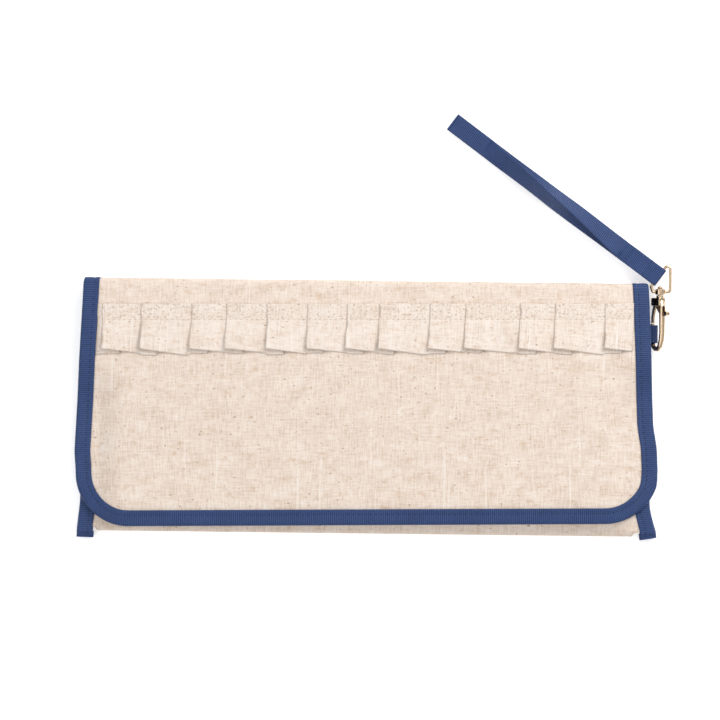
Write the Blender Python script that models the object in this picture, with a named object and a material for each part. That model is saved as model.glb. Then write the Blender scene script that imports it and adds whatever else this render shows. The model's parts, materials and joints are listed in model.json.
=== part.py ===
"""Brush case: a fold-over envelope of bound linen with a ruffled flap and a clip-on wrist strap.

The case lies on its back panel. +Z is up, +Y runs from the bottom fold to the top fold, and the
origin is the middle of the face that it rests on. Lengths are in metres.
"""

import math

import bmesh
import bpy
from mathutils import Matrix, Vector

MM = 0.001

# Overall sizes
TOP_WIDTH = 281.5 * MM  # across the top fold
BODY_BOTTOM_WIDTH = 287.0 * MM  # across the body at its bottom fold
FLAP_WIDTH = 290.5 * MM  # across the flap where its corners start
BODY_HEIGHT = 127.0 * MM  # bottom fold to top fold
FLAP_HEIGHT = 122.5 * MM  # top fold to the flap's lower edge
FLAP_CORNER = 27.0 * MM

# Cloth
OUTER = 0.6 * MM
WADDING = 0.8 * MM
LINING = 0.4 * MM
GAP = 0.3 * MM  # between pieces that touch
POCKET_DEPTH = 5.2 * MM  # inside the pocket, back lining to front lining
FLAP_CLEARANCE = 0.6 * MM  # under the flap

# Ribbon
RIBBON = 0.5 * MM
BINDING_WIDTH = 7.7 * MM
BINDING_TAIL = 2.5 * MM  # how far the side bindings run past the bottom fold
SEAM_ALLOWANCE = 4.0 * MM  # from the body's edge to the cloth inside the side bindings
MOUTH_BINDING_WIDTH = 6.0 * MM

# Pocket
MOUTH_SETBACK = 20.0 * MM  # top fold to the pocket's mouth
SIDE_SLOPE = 14.0 * MM  # how far in from the seam the pocket reaches its full depth
BOTTOM_SLOPE = 8.0 * MM
SLEEVE_SLOTS = 5
SLEEVE_CLEARANCE = 3.0 * MM  # sleeve's side to where the pocket starts to slope down
SLOT_WALL = 2.5 * MM  # how far a slot's side leans
SLOT_SEAM = 3.0 * MM
SLEEVE_HEIGHT = 82.0 * MM
MAGNET_RADIUS = 7.0 * MM
MAGNET_TO_FLAP_EDGE = 15.0 * MM

# Flap and ruffle
DROOP_START = 37.0 * MM  # from the top fold to where the flap's sides start to drop
DROOP_RUN = 26.0 * MM
RUFFLE_SETBACK = 11.5 * MM  # top fold to the ruffle's top edge
RUFFLE_HEADER = 7.8 * MM  # top edge to the stitching
RUFFLE_HEIGHT = 23.7 * MM
RUFFLE_PLEATS = 13
RUFFLE_THIN = 0.7 * MM
RUFFLE_THICK = 1.9 * MM

# Side tab
TAB_SETBACK = 20.6 * MM  # top fold to the tab's upper edge
TAB_WIDTH = 9.0 * MM
TAB_RIBBON = 0.6 * MM
TUNNEL_RADIUS = 2.0 * MM
TUNNEL_FROM_EDGE = 2.3 * MM  # from the body's edge to the middle of the tunnel

# Clasp
CLASP_TILT = 55.0  # degrees that the hook stands up from the table
NOSE_RADIUS = 1.1 * MM
SPINE_RADIUS = 1.6 * MM
HOOK_REACH = 7.4 * MM  # middle of the nose to middle of the spine
SWIVEL_SHARE = 0.755  # how far across that reach the swivel is
NOSE_PAST_TAB = 0.8 * MM  # tab's upper edge to the tip of the nose
NOSE_TO_NECK = 12.4 * MM
HOOK_BOTTOM = 3.1 * MM  # below the tab's middle to the middle of the bottom curl
CHEEK_HALF = 2.1 * MM
GATE_SLOT_HALF = 1.3 * MM
GATE_HALF = 0.55 * MM
ARM_SLOT_REACH = 3.3 * MM  # gate's pivot to the far wall of the slot that its thumb arm swings in
THUMB_SLOT_ABOVE = 3.9 * MM  # how far above its resting place the thumb arm may travel
PIN_RADIUS = 0.5 * MM
PIN_CLEARANCE = 0.15 * MM
SPRING_WIRE = 0.2 * MM
SPRING_RADIUS = 1.0 * MM
POST_RADIUS = 1.0 * MM
POST_CLEARANCE = 0.25 * MM
BARREL_RADIUS = 2.4 * MM
BARREL_LENGTH = 2.8 * MM
RIVET_HEAD_RADIUS = 1.35 * MM
EYE_WIRE = 0.8 * MM
EYE_ARM_RIGHT = 5.0 * MM  # swivel axis to the eye's long arm
EYE_BAR_LEFT = 1.0 * MM  # swivel axis to the middle of the bar in the strap, across
EYE_BAR_AHEAD = 9.0 * MM  # barrel's lower end to the middle of that bar, along

# Strap
STRAP_WIDTH = 9.5 * MM
STRAP_RIBBON = 0.7 * MM
STRAP_LENGTH = 130.0 * MM  # eye bar to far fold
STRAP_HEADING = 143.5  # degrees from +X
STRAP_SEWN = 18.0 * MM  # length of the folded-back end
STRAP_BULGE = 2.4 * MM  # how far the two runs part
STRAP_CLOSE = 8.0 * MM  # how far past the bar the runs have come together
STRAP_FOLD = 2.0 * MM  # length of the bend at the far end
WRAP_REACH = 2.7 * MM  # how far past the bar the wrap meets the lower run
UPPER_START = 6.0 * MM  # how far past the bar the upper run starts, under the wrap
STRAP_DROP_LENGTH = 58.0 * MM  # how far along the strap comes down to the table

# Worked out from the sizes above
PANEL = OUTER + WADDING + LINING + 2 * GAP
Y_TOP = BODY_HEIGHT / 2 - 0.5 * MM
Y_BOTTOM = Y_TOP - BODY_HEIGHT
SEAM = 2 * PANEL + GAP
FRONT_RISE = POCKET_DEPTH - GAP
FRONT_TOP = SEAM + FRONT_RISE
FLAP_BOTTOM = FRONT_TOP + FLAP_CLEARANCE
FLAP_TOP = FLAP_BOTTOM + PANEL
Y_MOUTH = Y_TOP - MOUTH_SETBACK
Y_FLAP_EDGE = Y_TOP - FLAP_HEIGHT
PANEL_END = Y_TOP - PANEL - GAP
RIM = BINDING_WIDTH + GAP
SLEEVE_BOTTOM = Y_BOTTOM + SEAM / 2 + BOTTOM_SLOPE
SLEEVE_DEPTH_SHARE = (Y_TOP - SLEEVE_BOTTOM - SLEEVE_HEIGHT) / BODY_HEIGHT
SLEEVE_ROOM = (TOP_WIDTH + SLEEVE_DEPTH_SHARE * (BODY_BOTTOM_WIDTH - TOP_WIDTH)
               - 2 * (RIM + SIDE_SLOPE + SLEEVE_CLEARANCE))
SLOT_PITCH = (SLEEVE_ROOM - SLOT_SEAM) / SLEEVE_SLOTS
FOLD_POINT = (0, Y_TOP - PANEL / 2, FLAP_TOP - PANEL / 2)


def clear_scene():
    for obj in list(bpy.data.objects):
        bpy.data.objects.remove(obj)


def finish(name, colour, roughness, metallic=0.0):
    found = bpy.data.materials.get(name)
    if found:
        return found
    made = bpy.data.materials.new(name)
    made.use_nodes = True
    shader = made.node_tree.nodes["Principled BSDF"]
    shader.inputs["Base Color"].default_value = (*colour, 1.0)
    shader.inputs["Roughness"].default_value = roughness
    shader.inputs["Metallic"].default_value = metallic
    return made


def linen():
    return finish("linen", (0.80, 0.72, 0.62), 0.9)


def wadding():
    return finish("wadding", (0.86, 0.85, 0.82), 0.95)


def lining():
    return finish("lining", (0.07, 0.10, 0.21), 0.8)


def ribbon():
    return finish("ribbon", (0.04, 0.08, 0.20), 0.7)


def gold():
    return finish("pale_gold", (0.85, 0.68, 0.42), 0.25, 1.0)


def steel():
    return finish("steel", (0.60, 0.60, 0.62), 0.35, 1.0)


def node(name, shape, material, parent=None, at=(0, 0, 0), smooth=None):
    """An object named for its piece. Its origin is at one point, and its shape stays where it is."""
    bmesh.ops.recalc_face_normals(shape, faces=shape.faces)
    mesh = bpy.data.meshes.new(name)
    shape.transform(Matrix.Translation(-Vector(at)))
    shape.to_mesh(mesh)
    shape.free()
    mesh.materials.append(material)
    if smooth:
        mesh.shade_smooth()
        mesh.set_sharp_from_angle(angle=math.radians(smooth))
    obj = bpy.data.objects.new(name, mesh)
    obj.location = at
    bpy.context.scene.collection.objects.link(obj)
    if parent:
        obj.parent = parent
    return obj


def empty(name, at, turn=(0, 0, 0)):
    made = bpy.data.objects.new(name, None)
    made.location = at
    made.rotation_euler = turn
    bpy.context.scene.collection.objects.link(made)
    return made


def cutter(name, shape, parent=None):
    """A hidden helper for a Boolean."""
    obj = node(name, shape, steel(), parent)
    obj.hide_render = True
    obj.display_type = "WIRE"
    return obj


def cut(obj, tool, operation="DIFFERENCE"):
    modifier = obj.modifiers.new(tool.name, "BOOLEAN")
    modifier.operation = operation
    modifier.object = tool


def box(low, high):
    shape = bmesh.new()
    middle = [(a + b) / 2 for a, b in zip(low, high)]
    size = [b - a for a, b in zip(low, high)]
    place = Matrix.Translation(middle) @ Matrix.Diagonal((*size, 1))
    bmesh.ops.create_cube(shape, size=1, matrix=place)
    return shape


def cylinder(radius, start, end, sides=24, end_radius=None):
    """A round bar from one point to another."""
    shape = bmesh.new()
    run = Vector(end) - Vector(start)
    turn = run.to_track_quat("Z", "Y").to_matrix().to_4x4()
    place = Matrix.Translation((Vector(start) + Vector(end)) / 2) @ turn
    bmesh.ops.create_cone(
        shape,
        cap_ends=True,
        segments=sides,
        radius1=radius,
        radius2=radius if end_radius is None else end_radius,
        depth=run.length,
        matrix=place,
    )
    return shape


def loft(sections, closed_path=False):
    """A solid through sections that have the same number of points, each a closed outline."""
    shape = bmesh.new()
    rings = [[shape.verts.new(point) for point in section] for section in sections]
    pairs = list(zip(rings, rings[1:]))
    if closed_path:
        pairs.append((rings[-1], rings[0]))
    else:
        shape.faces.new(rings[0])
        shape.faces.new(rings[-1])
    count = len(rings[0])
    for first, second in pairs:
        for i in range(count):
            j = (i + 1) % count
            shape.faces.new((first[i], first[j], second[j], second[i]))
    return shape


def tube(points, radii, sides=10, closed_path=False):
    """A round wire along points, with a radius at each."""
    points = [Vector(point) for point in points]
    last = len(points) - 1
    normal = None
    sections = []
    for i, point in enumerate(points):
        before = points[i - 1] if i or closed_path else point
        after = points[(i + 1) % len(points)] if i < last or closed_path else point
        along = (after - before).normalized()
        if normal is None:
            normal = along.orthogonal().normalized()
        normal = (normal - along * normal.dot(along)).normalized()
        across = along.cross(normal)
        turns = [2 * math.pi * k / sides for k in range(sides)]
        ring = [point + radii[i] * (math.cos(a) * normal + math.sin(a) * across) for a in turns]
        sections.append(ring)
    return loft(sections, closed_path)


def sheet(loops, thickness, low):
    """A cloth layer. Each loop is an open row of (x, y, drop) from the outside in, and the last
    one bounds the flat middle. The layer is low at its underside, less each point's drop."""
    shape = bmesh.new()
    rows = [[shape.verts.new((x, y, low - drop)) for x, y, drop in loop] for loop in loops]
    for outer, inner in zip(rows, rows[1:]):
        for i in range(len(outer) - 1):
            # Every layer is split along the same diagonal, so that the layers stay parallel.
            shape.faces.new((outer[i], outer[i + 1], inner[i]))
            shape.faces.new((outer[i + 1], inner[i + 1], inner[i]))
    shape.faces.new(rows[-1])
    raised = bmesh.ops.extrude_face_region(shape, geom=shape.faces[:])["geom"]
    moved = [item for item in raised if isinstance(item, bmesh.types.BMVert)]
    bmesh.ops.translate(shape, verts=moved, vec=(0, 0, thickness))
    return shape


def body_half_width(y):
    share = (Y_TOP - y) / BODY_HEIGHT
    return (TOP_WIDTH + share * (BODY_BOTTOM_WIDTH - TOP_WIDTH)) / 2


def flap_half_width(y):
    share = (Y_TOP - y) / (FLAP_HEIGHT - FLAP_CORNER)
    return (TOP_WIDTH + min(share, 1.0) * (FLAP_WIDTH - TOP_WIDTH)) / 2


def plate(name, inset, bottom, top, low, thickness, material):
    """A flat layer of the body, between two heights in Y, inset from the body's slanting sides."""
    corners = [(side * (body_half_width(y) - inset), y) for side, y in
               ((-1, top), (-1, bottom), (1, bottom), (1, top))]
    shape = bmesh.new()
    face = shape.faces.new([shape.verts.new((x, y, low)) for x, y in corners])
    raised = bmesh.ops.extrude_face_region(shape, geom=[face])["geom"]
    moved = [item for item in raised if isinstance(item, bmesh.types.BMVert)]
    bmesh.ops.translate(shape, verts=moved, vec=(0, 0, thickness))
    return node(name, shape, material)


def back_panel():
    """The panel that the case lies on, from the bottom fold to the top one."""
    fold_start = Y_BOTTOM + SEAM / 2
    plate("back_outer", RIM, fold_start + GAP, Y_TOP - OUTER - GAP, 0, OUTER, linen())
    plate("back_interlining", SEAM_ALLOWANCE, fold_start, Y_TOP - OUTER - WADDING - 2 * GAP,
          OUTER + GAP, WADDING, wadding())
    plate("back_lining", SEAM_ALLOWANCE, fold_start, PANEL_END,
          OUTER + WADDING + 2 * GAP, LINING, lining())


def front_loop(inset, bottom, top, drop):
    """A row round the front panel's sides and bottom."""
    return [(side * (body_half_width(y) - inset), y, drop) for side, y in
            ((-1, top), (-1, bottom), (1, bottom), (1, top))]


def front_layer(name, inset, top, low, thickness, material):
    """One layer of the pocket's front, which slopes down to the seams and to the bottom fold."""
    fold_start = Y_BOTTOM + SEAM / 2
    rim = [front_loop(RIM, fold_start + GAP, top, FRONT_RISE)]
    if inset < RIM:
        rim.insert(0, front_loop(inset, fold_start, top, FRONT_RISE))
    middle = front_loop(RIM + SIDE_SLOPE, fold_start + BOTTOM_SLOPE, top, 0)
    return node(name, sheet([*rim, middle], thickness, low), material)


def front_panel():
    low = FRONT_TOP - PANEL
    cloth_top = Y_MOUTH - MOUTH_BINDING_WIDTH - GAP
    front_layer("front_lining", SEAM_ALLOWANCE, cloth_top, low, LINING, lining())
    stuffing = front_layer("front_interlining", SEAM_ALLOWANCE, Y_MOUTH - RIBBON - GAP,
                           low + LINING + GAP, WADDING, wadding())
    front_layer("front_outer", RIM, cloth_top, FRONT_TOP - OUTER, OUTER, linen())
    return stuffing


def bottom_fold():
    """The outer cloth where it turns up from the back panel to the front one."""
    centre = Y_BOTTOM + SEAM / 2
    steps = 10
    sections = []
    for side in (-1, 1):
        outline = []
        for radius, order in ((SEAM / 2, range(steps + 1)),
                              (SEAM / 2 - OUTER, range(steps, -1, -1))):
            for k in order:
                angle = math.pi * k / steps
                y = centre - radius * math.sin(angle)
                z = SEAM / 2 - radius * math.cos(angle)
                outline.append((side * (body_half_width(centre) - RIM), y, z))
        sections.append(outline)
    node("bottom_fold", loft(sections), linen(), smooth=50)


def ribbon_outline(width, height):
    """A folded ribbon seen end on: (distance in from the folded edge, height), clockwise."""
    turn = 0.6 * RIBBON
    return [
        (width, height), (turn, height), (0, height - turn), (0, turn), (turn, 0), (width, 0),
        (width, RIBBON), (RIBBON, RIBBON), (RIBBON, height - RIBBON), (width, height - RIBBON),
    ]


def side_bindings(tab_hole):
    """The ribbon over each side seam. It gets thinner above the pocket, and its end is tucked in."""
    end = Y_BOTTOM - BINDING_TAIL
    single = PANEL + GAP + RIBBON
    stations = ((end, SEAM), (Y_MOUTH, SEAM), (Y_MOUTH + 6 * MM, single), (PANEL_END, single))
    for side, name in ((-1, "left_side_binding"), (1, "right_side_binding")):
        sections = []
        for y, height in stations:
            edge = body_half_width(y)
            outline = ribbon_outline(BINDING_WIDTH, height)
            sections.append([(side * (edge - x), y, z) for x, z in outline])
        obj = node(name, loft(sections), ribbon())
        edge = body_half_width(end)
        tuck = box((edge - BINDING_WIDTH + 0.2 * MM, end, 0.2 * MM),
                   (edge - 0.2 * MM, end + 3 * RIBBON, SEAM - 0.2 * MM))
        if side < 0:
            bmesh.ops.scale(tuck, vec=(-1, 1, 1), verts=tuck.verts)
        cut(obj, cutter(name + "_tuck", tuck), "UNION")
        if side > 0:
            cut(obj, tab_hole)


def mouth_binding():
    """The ribbon over the pocket's mouth. It follows the front panel's slopes."""
    low = FRONT_TOP - PANEL
    slope = FRONT_RISE / SIDE_SLOPE
    end = (RIM + GAP, FRONT_RISE - GAP * slope)
    level = (RIM + SIDE_SLOPE, 0)
    sections = []
    for side, (inset, drop) in ((-1, end), (-1, level), (1, level), (1, end)):
        outline = ribbon_outline(MOUTH_BINDING_WIDTH, PANEL)
        sections.append([(side * (body_half_width(Y_MOUTH - inward) - inset), Y_MOUTH - inward,
                          low + z - drop) for inward, z in outline])
    node("pocket_mouth_binding", loft(sections), ribbon())


def brush_sleeve():
    """A cloth sewn to the back lining in lines, so that it stands off it in a row of slots."""
    low = PANEL + GAP
    high = PANEL + POCKET_DEPTH - GAP - LINING
    half = SLEEVE_SLOTS * SLOT_PITCH / 2
    top_line = [(-half - SLOT_SEAM / 2, low)]
    for k in range(SLEEVE_SLOTS):
        left = -half + k * SLOT_PITCH
        top_line += [
            (left + SLOT_SEAM / 2, low),
            (left + SLOT_SEAM / 2 + SLOT_WALL, high),
            (left + SLOT_PITCH - SLOT_SEAM / 2 - SLOT_WALL, high),
            (left + SLOT_PITCH - SLOT_SEAM / 2, low),
        ]
    top_line.append((half + SLOT_SEAM / 2, low))
    outline = [(x, z + LINING) for x, z in top_line] + [(x, z) for x, z in reversed(top_line)]
    sections = [[(x, y, z) for x, z in outline] for y in (SLEEVE_BOTTOM, SLEEVE_BOTTOM + SLEEVE_HEIGHT)]
    node("brush_sleeve", loft(sections), lining())


def magnets(front_stuffing, flap_stuffing):
    """Two sewn-in discs that hold the flap shut, each in a hole in its panel's interlining."""
    y = Y_FLAP_EDGE + MAGNET_TO_FLAP_EDGE
    for name, stuffing, top, at in (
        ("pocket_magnet", front_stuffing, FRONT_TOP - OUTER - GAP, (0, 0, 0)),
        ("flap_magnet", flap_stuffing, FLAP_TOP - OUTER - GAP, FOLD_POINT),
    ):
        low = top - WADDING
        node(name, cylinder(MAGNET_RADIUS, (0, y, low), (0, y, top), 32), steel(), at=at, smooth=50)
        hole = cylinder(MAGNET_RADIUS + GAP, (0, y, low - MM), (0, y, top + MM), 32)
        cut(stuffing, cutter(name + "_hole", hole))


def spine():
    """The strip of case between the back panel and the flap, at the top fold."""
    top = FLAP_BOTTOM - GAP
    half = TOP_WIDTH / 2
    wadding_back = Y_TOP - OUTER - GAP
    lining_back = wadding_back - WADDING - GAP
    node("spine_outer", box((RIM - half, Y_TOP - OUTER, 0), (half - RIM, Y_TOP, top)), linen())
    node("spine_interlining", box((2 * RIBBON - half, wadding_back - WADDING, PANEL + GAP),
                                  (half - 2 * RIBBON, wadding_back, top)), wadding())
    node("spine_lining", box((RIM - half, lining_back - LINING, PANEL + GAP),
                             (half - RIM, lining_back, top)), lining())
    for side, name in ((-1, "left_spine_binding"), (1, "right_spine_binding")):
        outline = ribbon_outline(BINDING_WIDTH, PANEL)
        sections = [[(side * (half - x), Y_TOP - y, z) for x, y in outline]
                    for z in (PANEL + GAP, top)]
        node(name, loft(sections), ribbon())


def flap_row(inset, top, dropping):
    """A row of points round the flap, this far in from its edge: down, round and up again."""
    shoulder = Y_TOP - DROOP_START
    low_shoulder = shoulder - DROOP_RUN
    corner_y = Y_FLAP_EDGE + FLAP_CORNER
    fall = FRONT_RISE if dropping else 0
    row = [
        (flap_half_width(top) - inset, top, 0),
        (flap_half_width(shoulder) - inset, shoulder, 0),
        (flap_half_width(low_shoulder) - inset, low_shoulder, fall),
    ]
    steps = 9
    for k in range(steps + 1):
        angle = math.pi / 2 * k / steps
        x = FLAP_WIDTH / 2 - FLAP_CORNER + (FLAP_CORNER - inset) * math.cos(angle)
        y = corner_y - (FLAP_CORNER - inset) * math.sin(angle)
        row.append((x, y, fall * (1 - k / steps)))
    return [(-x, y, drop) for x, y, drop in row] + [(x, y, drop) for x, y, drop in reversed(row)]


def flap():
    """The flap's layers and the ribbon round its edge."""
    flat = flap_row(RIM + SIDE_SLOPE, PANEL_END, False)
    rim = flap_row(RIM, PANEL_END, True)
    inside = flap_row(2 * RIBBON, PANEL_END, True)
    node("flap_lining", sheet([rim, flat], LINING, FLAP_BOTTOM), lining(), at=FOLD_POINT)
    stuffing = node("flap_interlining", sheet([inside, rim, flat], WADDING, FLAP_BOTTOM + LINING + GAP),
                    wadding(), at=FOLD_POINT)
    node("flap_outer", sheet([rim, flat], OUTER, FLAP_TOP - OUTER), linen(), at=FOLD_POINT)
    sections = []
    outline = ribbon_outline(BINDING_WIDTH, PANEL)
    rows = [flap_row(inward, PANEL_END, True) for inward, _ in outline]
    for i in range(len(rows[0])):
        section = []
        for row, (_, height) in zip(rows, outline):
            x, y, drop = row[i]
            section.append((x, y, FLAP_BOTTOM + height - drop))
        sections.append(section)
    node("flap_binding", loft(sections), ribbon(), at=FOLD_POINT)
    half = Vector((TOP_WIDTH / 2, 0, 0))
    bend = cylinder(PANEL / 2 - GAP / 3, Vector(FOLD_POINT) - half, Vector(FOLD_POINT) + half, 16)
    node("fold_bend", bend, linen(), at=FOLD_POINT, smooth=50)
    return stuffing


def ruffle():
    """A knife-pleated strip sewn across the flap. Each pleat is thickest at its fold."""
    low = FLAP_TOP + GAP
    top = Y_TOP - RUFFLE_SETBACK
    stitch = top - RUFFLE_HEADER
    hem = top - RUFFLE_HEIGHT
    half = flap_half_width(top) - RIM - GAP
    pitch = 2 * half / RUFFLE_PLEATS
    under = 0.3 * MM  # how far a fold leans over the next pleat
    sections = []
    for k in range(RUFFLE_PLEATS):
        left = -half + k * pitch
        for x, thickness in ((left, RUFFLE_THICK), (left + pitch - under, RUFFLE_THIN)):
            row = ((top, RUFFLE_THIN), (stitch, RUFFLE_THIN), (hem, thickness))
            sections.append([(x, y, low) for y, _ in row]
                            + [(x, y, low + t) for y, t in reversed(row)])
    node("ruffle", loft(sections), linen(), at=FOLD_POINT)


def side_tab():
    """The ribbon loop that the hook clips to: a sewn root and a round tunnel."""
    y_top = Y_TOP - TAB_SETBACK
    y_low = y_top - TAB_WIDTH
    middle_x = body_half_width((y_top + y_low) / 2) + TUNNEL_FROM_EDGE
    middle_z = SEAM / 2 + GAP
    outer = TUNNEL_RADIUS + TAB_RIBBON
    root = max(body_half_width(y_low), body_half_width(y_top)) - SEAM_ALLOWANCE + 2 * GAP
    ring = cylinder(outer, (middle_x, y_low, middle_z), (middle_x, y_top, middle_z), 24)
    tab = node("side_tab", ring, ribbon(), smooth=40)
    stem = box((root, y_low, middle_z - TAB_RIBBON),
               (middle_x - TUNNEL_RADIUS, y_top, middle_z + TAB_RIBBON))
    cut(tab, cutter("side_tab_stem", stem), "UNION")
    hole = cylinder(TUNNEL_RADIUS, (middle_x, y_low - MM, middle_z),
                    (middle_x, y_top + MM, middle_z), 24)
    cut(tab, cutter("side_tab_tunnel", hole))
    slit = box((root - MM, y_low - GAP, middle_z - TAB_RIBBON - GAP),
               (middle_x, y_top + GAP, middle_z + TAB_RIBBON + GAP))
    round_hole = cylinder(outer + GAP, (middle_x, y_low - GAP, middle_z),
                          (middle_x, y_top + GAP, middle_z), 24)
    hole_in_binding = cutter("tab_slit", slit)
    cut(hole_in_binding, cutter("tab_round", round_hole), "UNION")
    return (middle_x, (y_low + y_top) / 2, middle_z), hole_in_binding


def clasp(tab_middle):
    """The swivel hook. It is drawn flat, x across from the nose to the spine, y along it, z
    through it, and the empty that holds it stands it up about the middle of the tab's tunnel."""
    x0, y0, z0 = tab_middle
    frame = empty("clasp_frame", (x0, 0, z0), (0, -math.radians(CLASP_TILT), 0))
    nose_top = y0 + TAB_WIDTH / 2 + NOSE_PAST_TAB
    bottom = y0 - TAB_WIDTH / 2 - HOOK_BOTTOM
    neck_y = nose_top + NOSE_TO_NECK
    axis_x = SWIVEL_SHARE * HOOK_REACH
    # From the neck down the spine, round the bottom curl and up to the nose: x, y and radius
    route = [
        (axis_x, neck_y, SPINE_RADIUS), (axis_x + 0.9 * MM, neck_y - 2 * MM, SPINE_RADIUS),
        (HOOK_REACH, neck_y - 4.5 * MM, SPINE_RADIUS), (HOOK_REACH, neck_y - 8 * MM, SPINE_RADIUS),
        (HOOK_REACH, neck_y - 11 * MM, 1.5 * MM), (HOOK_REACH, bottom + 8 * MM, 1.4 * MM),
        (HOOK_REACH - 0.5 * MM, bottom + 4.4 * MM, 1.4 * MM),
        (HOOK_REACH - 1.6 * MM, bottom + 1.6 * MM, 1.35 * MM),
        (HOOK_REACH / 2 + 0.6 * MM, bottom, 1.3 * MM),
        (HOOK_REACH / 2 - 1.2 * MM, bottom + 0.1 * MM, 1.25 * MM),
        (0.9 * MM, bottom + 1.3 * MM, 1.2 * MM), (0.1 * MM, bottom + 3.2 * MM, NOSE_RADIUS),
        (0, bottom + 6 * MM, NOSE_RADIUS), (0, nose_top, NOSE_RADIUS),
    ]
    body = node("hook_body", tube([(x, y, 0) for x, y, _ in route], [r for _, _, r in route], 12),
                gold(), frame, smooth=50)
    head_low = neck_y - 3.6 * MM
    head_high = neck_y + 0.6 * MM
    head = box((0.7 * MM, head_low, -CHEEK_HALF), (axis_x + 1.9 * MM, head_high, CHEEK_HALF))
    bmesh.ops.bevel(head, geom=head.edges[:], offset=0.6 * MM, segments=2, profile=0.5, affect="EDGES")
    neck_top = head_high + 1.2 * MM
    neck = cylinder(1.9 * MM, (axis_x, head_high - MM, 0), (axis_x, neck_top, 0))
    cut(body, cutter("hook_head", head, frame), "UNION")
    cut(body, cutter("hook_neck", neck, frame), "UNION")
    pivot = (2.3 * MM, neck_y - 1.9 * MM)
    gate_slot = box((-MM, head_low - MM, -GATE_SLOT_HALF),
                    (pivot[0] + 1.9 * MM, head_high - 0.8 * MM, GATE_SLOT_HALF))
    cut(body, cutter("gate_slot", gate_slot, frame))
    arm_slot = box((0, head_low - MM, -GATE_SLOT_HALF),
                   (pivot[0] + ARM_SLOT_REACH, pivot[1] - 0.3 * MM, GATE_SLOT_HALF))
    cut(body, cutter("arm_slot", arm_slot, frame))
    thumb_y = nose_top + 5 * MM
    thumb_slot = box((HOOK_REACH - 3 * MM, thumb_y - 1.2 * MM, -GATE_HALF - 0.25 * MM),
                     (HOOK_REACH + 3 * MM, thumb_y + THUMB_SLOT_ABOVE, GATE_HALF + 0.25 * MM))
    cut(body, cutter("thumb_slot", thumb_slot, frame))
    pin_hole = cylinder(PIN_RADIUS + PIN_CLEARANCE, (*pivot, -3 * MM), (*pivot, 3 * MM), 16)
    pin_bore = cutter("pin_bore", pin_hole, frame)
    cut(body, pin_bore)
    socket = cylinder(POST_RADIUS + PIN_CLEARANCE, (axis_x, head_high - 1.4 * MM, 0),
                      (axis_x, neck_top + MM, 0))
    cut(body, cutter("rivet_socket", socket, frame))
    node("gate_pin", cylinder(PIN_RADIUS, (*pivot, -CHEEK_HALF), (*pivot, CHEEK_HALF), 16), steel(),
         frame, smooth=50)
    gate(frame, pivot, nose_top + GAP, thumb_y, pin_bore)
    gate_spring(frame, pivot)
    eye_low = neck_top + GAP
    rivet = rivet_shape(axis_x, head_high - 1.2 * MM, eye_low + BARREL_LENGTH + GAP)
    node("swivel_rivet", rivet, gold(), frame, smooth=40)
    tilt = math.radians(CLASP_TILT)
    return (x0 + axis_x * math.cos(tilt), eye_low, z0 + axis_x * math.sin(tilt))


def bar(points, widths, half):
    """A flat lever along points in the hook's plane, this wide at each and twice half thick."""
    left = []
    right = []
    for i, (x, y) in enumerate(points):
        before = points[max(i - 1, 0)]
        after = points[min(i + 1, len(points) - 1)]
        along = Vector((after[0] - before[0], after[1] - before[1])).normalized()
        left.append((x - along.y * widths[i], y + along.x * widths[i]))
        right.append((x + along.y * widths[i], y - along.x * widths[i]))
    outline = left + right[::-1]
    return loft([[(x, y, z) for x, y in outline] for z in (-half, half)])


def gate(frame, pivot, tip_y, thumb_y, pin_bore):
    """The sprung lever that closes the hook, with its thumb knob through the spine's slot."""
    x, y = pivot
    holder = empty("gate_frame", (x, y, 0))
    holder.parent = frame
    back = Matrix.Translation((-x, -y, 0))
    boss = cylinder(1.25 * MM, (x, y, -GATE_HALF), (x, y, GATE_HALF), 20)
    boss.transform(back)
    obj = node("gate_lever", boss, gold(), holder, smooth=40)
    closer = bar([(x, y), (0.9 * MM, y - 4 * MM), (0.1 * MM, y - 7.5 * MM), (0, tip_y)],
                 [1.0 * MM, 0.9 * MM, 0.8 * MM, 0.8 * MM], GATE_HALF)
    closer.transform(back)
    cut(obj, cutter("gate_closer", closer, holder), "UNION")
    thumb = bar([(x, y), (x + 2 * MM, y - 3.2 * MM), (HOOK_REACH - 1.6 * MM, thumb_y + 0.5 * MM),
                 (HOOK_REACH + 3.4 * MM, thumb_y)], [0.7 * MM, 0.6 * MM, 0.6 * MM, 0.6 * MM], GATE_HALF)
    thumb.transform(back)
    cut(obj, cutter("gate_thumb", thumb, holder), "UNION")
    knob_x = HOOK_REACH + 3.6 * MM
    knob = cylinder(1.2 * MM, (knob_x, thumb_y, -1.1 * MM), (knob_x, thumb_y, 1.1 * MM), 16)
    knob.transform(back)
    cut(obj, cutter("gate_knob", knob, holder), "UNION")
    cut(obj, pin_bore)


def gate_spring(frame, pivot):
    """A torsion spring round the pin, beside the lever."""
    x, y = pivot
    low = GATE_HALF + SPRING_WIRE + 0.1 * MM
    steps = 14
    coil = [(x + SPRING_RADIUS, y - 2.2 * MM, low)]
    for k in range(steps + 1):
        angle = 2 * math.pi * 0.9 * k / steps
        coil.append((x + SPRING_RADIUS * math.cos(angle), y + SPRING_RADIUS * math.sin(angle),
                     low + 0.1 * MM * k / steps))
    node("gate_spring", tube(coil, [SPRING_WIRE] * len(coil), 6), steel(), frame, smooth=50)


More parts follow.
